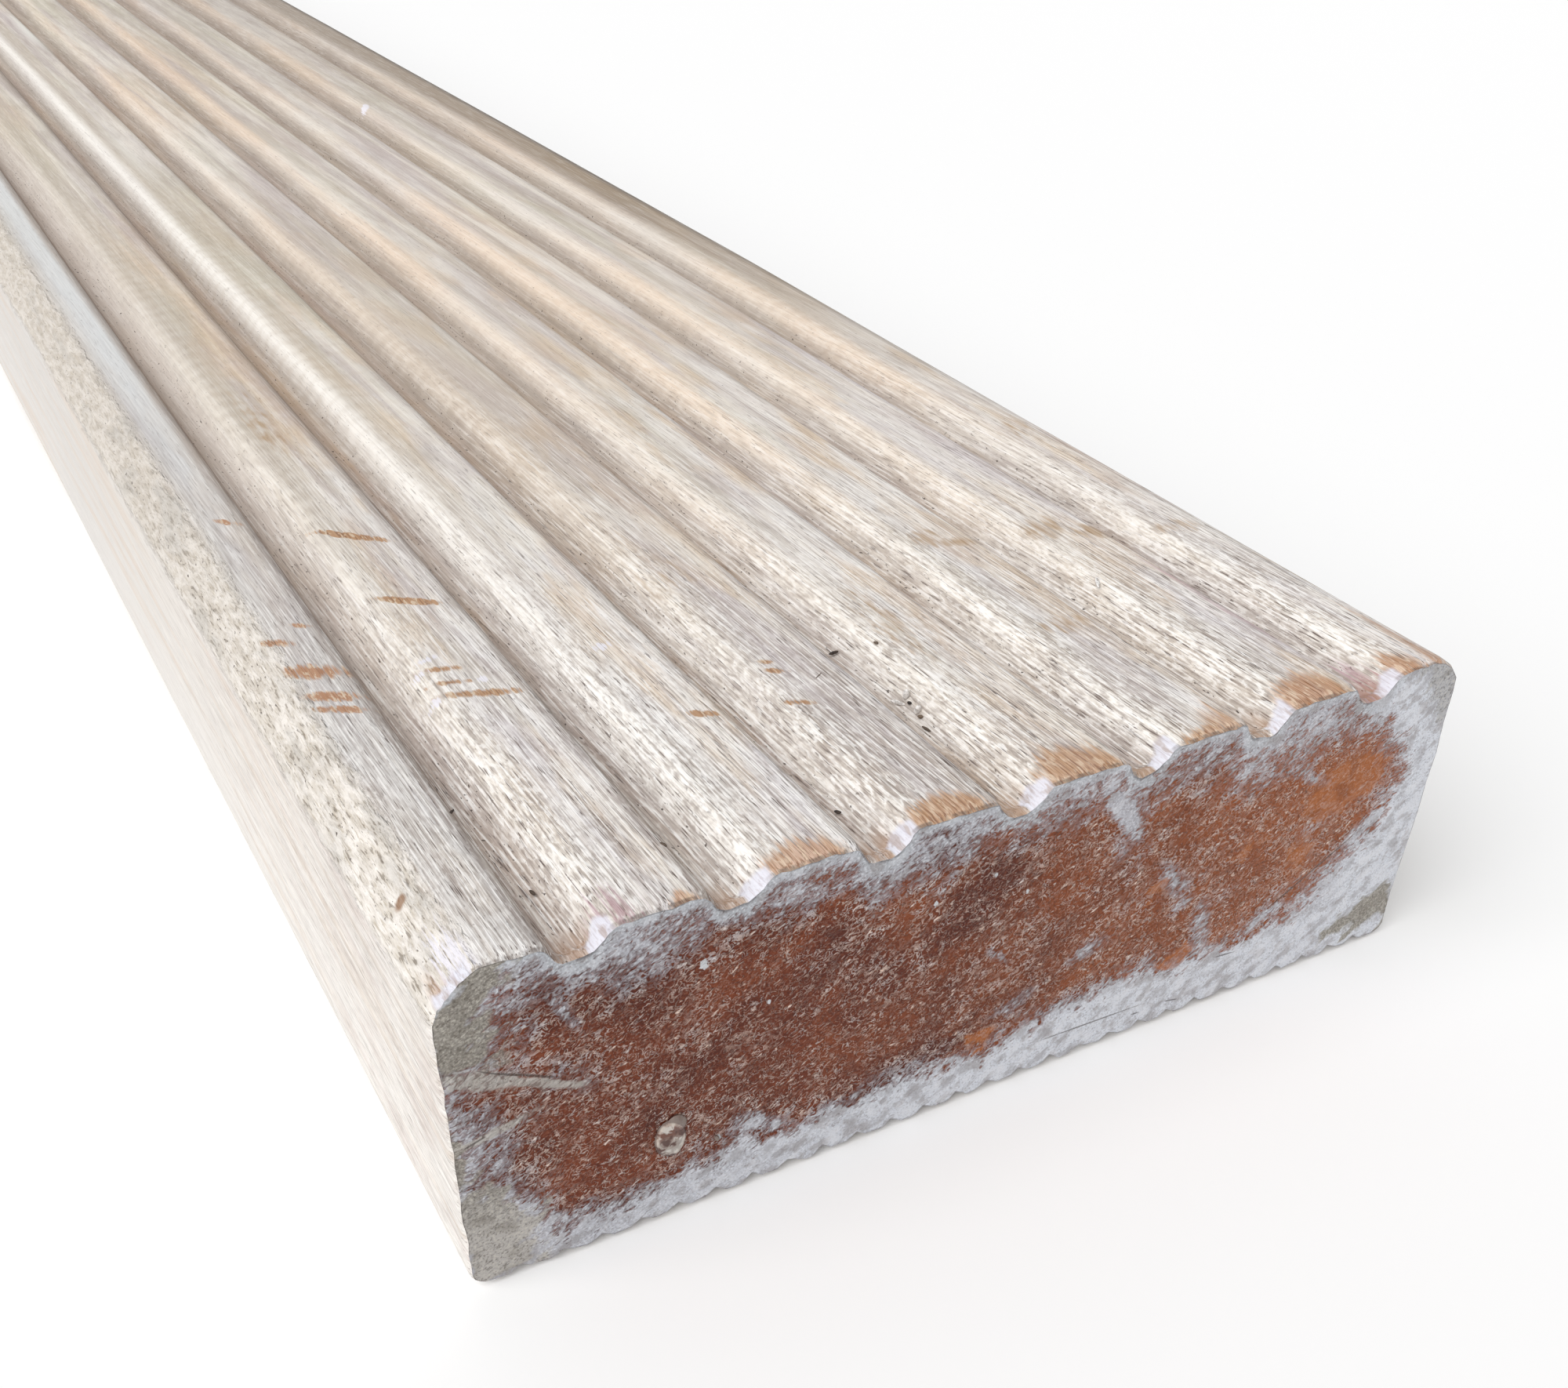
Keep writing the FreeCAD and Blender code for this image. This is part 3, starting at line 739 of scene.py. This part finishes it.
    paint = coats(tree, f, wood, [
        (wax, 0.95, ("film",)),
        (dry, 0.95, ("bareEdge", -0.8, 0.6)),
        (splitWood, 0.85, ("split", 0.62, 0.9)),
        ("#cfd0d3", 1.0, ("chips", 0.95, 1.1), ("dots", 0.02, 0.1)),
        ("#4c4440", 0.7, ("crack", 0.6, 0.8)), ("#4a4241", 0.55, ("rim", 0.32, 0.12), ("edge", 0.42, 0.54))])
    tree.links.new(paint.outputs[2], shader.inputs["Base Color"])
    shader.inputs["Roughness"].default_value = 0.5
    shader.inputs["Specular IOR Level"].default_value = 0.18
    bump = put(tree, "ShaderNodeBump", {"Height": f["film"], "Distance": 0.00015})
    tree.links.new(bump.outputs[0], shader.inputs["Normal"])
    return material


def bitsTree():
    # one lump on every point, sized and turned by the point's own values, its surface roughened
    tree, given, result = newShapeTree("looseBits", {
        "Detail": "Int", "Roughness": "Float", "Lump size": "Float", "Material": "Material"})
    g = given.outputs
    size, turn = (put(tree, attributeNode, {"Name": label}, data_type="FLOAT_VECTOR").outputs[0]
                  for label in ("size", "turn"))
    lump = put(tree, "GeometryNodeMeshIcoSphere", {"Radius": 1.0, "Subdivisions": g["Detail"]})
    points = put(tree, "GeometryNodeMeshToPoints", {"Mesh": g["Geometry"]})
    placed = put(tree, "GeometryNodeInstanceOnPoints", {
        "Points": points, "Instance": lump, "Rotation": turn, "Scale": size})
    real = put(tree, "GeometryNodeRealizeInstances", {"Geometry": placed})
    scaled = put(tree, vectorNode, {0: put(tree, "GeometryNodeInputPosition"), "Scale": put(
        tree, "DIVIDE", [1.0, g["Lump size"]])}, operation="SCALE")
    noise = put(tree, noiseNode, {"Vector": scaled, "Scale": 1.0}).outputs[0]
    inside = 0.75     # about the noise's highest value, so the lumps only lose
    push = put(tree, "MULTIPLY", [put(tree, "SUBTRACT", [noise, inside]), g["Roughness"]])
    rough = put(tree, moveNode, {"Geometry": real, "Offset": put(
        tree, vectorNode, {0: put(tree, "GeometryNodeInputNormal"), "Scale": push}, operation="SCALE")})
    smooth = put(tree, "GeometryNodeSetShadeSmooth", {"Geometry": rough})
    clothed = put(tree, "GeometryNodeSetMaterial", {"Geometry": smooth, "Material": g["Material"]})
    tree.links.new(clothed.outputs[0], result.inputs[0])
    return tree


def bitPoints(name, b, bits):
    # points in the frame from (along, across, height), half sizes in mm, turn and shade
    mesh = bpy.data.meshes.new(name)
    mesh.from_pydata([(b["length"] / 2000 - along / 1000, (across - b["width"] / 2) / 1000, height / 1000)
                      for (along, across, height), *_ in bits], [], [])
    values = {"size": [np.array(bit[1]) / 1000 for bit in bits], "turn": [bit[2] for bit in bits],
              "shade": [bit[3] for bit in bits]}
    for label, data in values.items():
        kind, key = ("FLOAT", "value") if label == "shade" else ("FLOAT_VECTOR", "vector")
        mesh.attributes.new(label, kind, "POINT").data.foreach_set(key, np.array(data, np.float32).ravel())
    return mesh


# splinters and dirt fallen on the tread: nearly black, to raw white wood
def looseSplinters(b):
    material, tree, shader = newMaterial("looseSplinters")
    fields = fieldsOf(tree, boardSpot(tree, b), boardSpot(tree, b), {
        "fleck": ((0.6, 0.6, 0.6), 2, 0)}, ["shade"])
    paint = coats(tree, fields, "#2a211d", [
        ("#8d7965", 1.0, ("shade", 0.1, 0.5)),
        ("#efece9", 1.0, ("shade", 0.55, 0.9)),
        ("#5a4c42", 0.5, ("fleck", 0.52, 0.4))])
    tree.links.new(paint.outputs[2], shader.inputs["Base Color"])
    shader.inputs["Roughness"].default_value = 0.8
    return material


# a drop of clear wax set on the end, painted to look glassy: a painted highlight for its bright rim, painted
# shade for its dark outline, and cloudy grey inside
def clearWax(b, drop):
    material, tree, shader = newMaterial("clearSetWax")
    spot = boardSpot(tree, b)
    fields = fieldsOf(tree, spot, spot, {"lump": ((1, 1.3, 1.3), 3, 0.4)}, [])
    (_, across, height), size, turn, _ = drop
    fields["inside"] = dabs(tree, spot, [((across, height), size[1:], turn[0], 1.0)], onEnd=True)
    paint = coats(tree, fields, "#6b4436", [
        ("#a69e96", 0.9, ("height", height + 0.9, height - 0.5), ("lump", 0.38, 0.5)),
        ("#d6d1c9", 0.8, ("lump", 0.55, 0.64)),
        ("#4a3029", 0.8, ("lump", 0.47, 0.4)),
        # painted highlight: the bright rim
        ("#c4b6aa", 0.7, ("inside", 0.3, 0.2), ("lump", 0.44, 0.54)),
        # painted shade: the dark outline
        ("#4a322a", 0.7, ("inside", 0.16, 0.08))])
    tree.links.new(paint.outputs[2], shader.inputs["Base Color"])
    shader.inputs["Roughness"].default_value = 0.25
    return material


outline = sectionOutline(board)
nearFace, outlineCount = endFace("nearFace", board, outline, board["endMesh"], False)
farFace, outlineCount = endFace("farFace", board, outline, board["farMesh"], True)
farSource = bpy.data.objects.new("farFaceSource", farFace)
scene.collection.objects.link(farSource)
print("section", outlineCount, "points")
sideWood, endWood = weatheredHardwood(board), waxedEndGrain(board)
deckingBoard = shapeFrom("deckingBoard", nearFace, boardTree(), {
    "Far end": farSource, "Outline points": outlineCount,
    "Length": board["length"], "Stations": board["stations"],
    "End growth": board["endGrowth"], "End recess": board["endRecess"], "Rim ease": board["rimEase"],
    "Torn depth": board["tornDepth"], "Grain depth": board["grainDepth"], "Wave depth": board["waveDepth"],
    "Wax depth": board["waxDepth"], "Fill depth": board["fillDepth"], "Arris wear": board["arrisWear"],
    "Long faces": sideWood, "End faces": endWood})
bpy.data.objects.remove(farSource)
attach(deckingBoard, "root")
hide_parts("decking_board")

# what lies on it: (along, across, height), half sizes, turn, shade
splinters = {
    "detail": 3, "roughness": 0.00015, "lumpSize": 0.0005,
    "bits": [
        ((44.7, 73.2, 43.6), (0.28, 0.85, 0.26), (0, 0, 0.1), 0.0),
        ((28.9, 74.7, 44.8), (0.45, 0.5, 1.0), (0.2, 0.3, 0), 0.9),
        ((29.4, 73.8, 43.6), (1.1, 0.35, 0.3), (0, 0, 0.6), 0.9),
        ((25.7, 74.4, 44.3), (0.4, 0.5, 0.9), (0, 0.4, 0), 1.0),
        ((27.8, 74.5, 44.2), (0.35, 0.25, 0.22), (0, 0, 0.4), 0.1),
        ((24.8, 74.3, 43.8), (0.45, 0.3, 0.25), (0, 0, 0.9), 0.3),
        ((22.5, 73.7, 43.4), (0.8, 0.25, 0.2), (0, 0, 0.2), 0.2),
        ((39.6, 76.6, 46.7), (0.45, 0.35, 0.15), (0, 0, 0), 0.25),
        ((35.4, 65.4, 46.72), (0.18, 1.2, 0.12), (0, 0, 0.6), 0.2),
        ((34.6, 64.4, 46.72), (0.5, 0.16, 0.12), (0, 0, 0.3), 0.8),
        ((40.2, 113.9, 46.7), (1.6, 0.32, 0.2), (0, 0, -0.55), 1.0),
        ((222.5, 138.4, 46.6), (2.4, 0.7, 0.2), (0, 0, -0.35), 0.8),
        ((28.3, 13.1, 46.2), (0.25, 0.9, 0.2), (0.3, 0, 0.5), 0.1),
        ((11.1, 31.5, 46.6), (0.6, 0.3, 0.25), (0, 0, 0.4), 0.2),
        ((13.6, 16.9, 43.5), (0.6, 0.25, 0.22), (0, 0, 0.2), 0.15),
        ((11.5, 54.2, 43.5), (0.5, 0.3, 0.22), (0, 0, 0.7), 0.1)],
}
waxDrops = {
    "detail": 5, "roughness": 0.0004, "lumpSize": 0.0011,
    "bits": [
        ((0.55, 26.1, 12.8), (0.5, 2.1, 3.1), (0.1, 0, 0), 0.5),
        ((0.5, 26.9, 14.8), (0.45, 1.4, 1.5), (0.3, 0, 0), 0.5),
        ((0.5, 32.2, 9.9), (0.35, 0.35, 0.6), (0.2, 0, 0), 0.5)],
}
lumps = bitsTree()
for name, loose, material in (("looseSplinters", splinters, looseSplinters(board)),
                              ("clearWaxDrop", waxDrops, clearWax(board, waxDrops["bits"][0]))):
    piece = shapeFrom(name, bitPoints(name, board, loose["bits"]), lumps, {
        "Detail": loose["detail"], "Roughness": loose["roughness"], "Lump size": loose["lumpSize"],
        "Material": material})
    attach(piece, "root")

# floor and light
stage = {"floorSize": 30.0, "floorDrop": 0.0003, "floorColour": "#fafafa", "skyLevel": 0.46,
         "keyLevel": 0.57, "keyFrom": (0.25, -0.75, 0.85), "keySoftness": 60.0}

floorMesh = bpy.data.meshes.new("studioFloor")
reach = stage["floorSize"] / 2
floorCorners = ((-reach, -reach), (reach, -reach), (reach, reach), (-reach, reach))
floorMesh.from_pydata([(x, y, -stage["floorDrop"]) for x, y in floorCorners], [], [(0, 1, 2, 3)])
floor = bpy.data.objects.new("studioFloor", floorMesh)
scene.collection.objects.link(floor)
floorPaint, _, floorShader = newMaterial("mattWhiteFloor")
floorShader.inputs["Base Color"].default_value = toLinear(stage["floorColour"])
floorShader.inputs["Roughness"].default_value = 1.0
floorMesh.materials.append(floorPaint)

sky = bpy.data.worlds.new("studioSky")
scene.world = sky
sky.use_nodes = True
skyTree = sky.node_tree
skyTree.nodes.clear()
path = put(skyTree, "ShaderNodeLightPath")
seen = put(skyTree, "MAXIMUM", [path.outputs["Is Camera Ray"], path.outputs["Is Glossy Ray"]])
seen = put(skyTree, "MAXIMUM", [seen, path.outputs["Is Transmission Ray"]])
level = put(skyTree, rangeNode, {"Value": seen, "To Min": stage["skyLevel"], "To Max": 1.0})
glow = put(skyTree, "ShaderNodeBackground", {"Strength": level, "Color": "#ffffff"})
put(skyTree, "ShaderNodeOutputWorld", {"Surface": glow})

keyLamp = bpy.data.lights.new("key", "SUN")
keyFrom = Vector(stage["keyFrom"]).normalized()
keyLamp.energy = stage["keyLevel"] * math.pi / keyFrom.z
keyLamp.angle = math.radians(stage["keySoftness"])
key = bpy.data.objects.new("key", keyLamp)
key.rotation_euler = keyFrom.to_track_quat("Z", "Y").to_euler()
scene.collection.objects.link(key)
print("floor, sky and key light set")

# the photograph's view, from a fitted camera low over the shown end
lens = {"imageWidth": 2000.0, "imageHeight": 1770.0, "focal": 2040.4, "axisY": 1231.0,
        "heading": 0.51934, "tilt": 0.68733, "roll": 0.01717,
        "before": 120.86, "across": -100.82, "height": 148.13}
turn, tilt, roll = lens["heading"], lens["tilt"], lens["roll"]
forward = Vector((-math.cos(turn) * math.cos(tilt), math.sin(turn) * math.cos(tilt), -math.sin(tilt)))
sideways = Vector((math.sin(turn), math.cos(turn), 0))
upright = sideways.cross(forward)
right = sideways * math.cos(roll) + upright * math.sin(roll)
up = upright * math.cos(roll) - sideways * math.sin(roll)
cameraData = bpy.data.cameras.new("camera")
cameraData.sensor_width = 36.0
cameraData.sensor_fit = "HORIZONTAL"
cameraData.lens = lens["focal"] / lens["imageWidth"] * cameraData.sensor_width
cameraData.shift_y = (lens["axisY"] - lens["imageHeight"] / 2) / lens["imageWidth"]
cameraData.clip_start = 0.01
camera = bpy.data.objects.new("camera", cameraData)
place = Vector((cadHigh.x + lens["before"] / 1000, lens["across"] / 1000, lens["height"] / 1000))
camera.matrix_world = Matrix.Translation(place) @ Matrix((right, up, -forward)).transposed().to_4x4()
scene.collection.objects.link(camera)
scene.camera = camera
print("camera", lens["before"], "mm before the shown end")
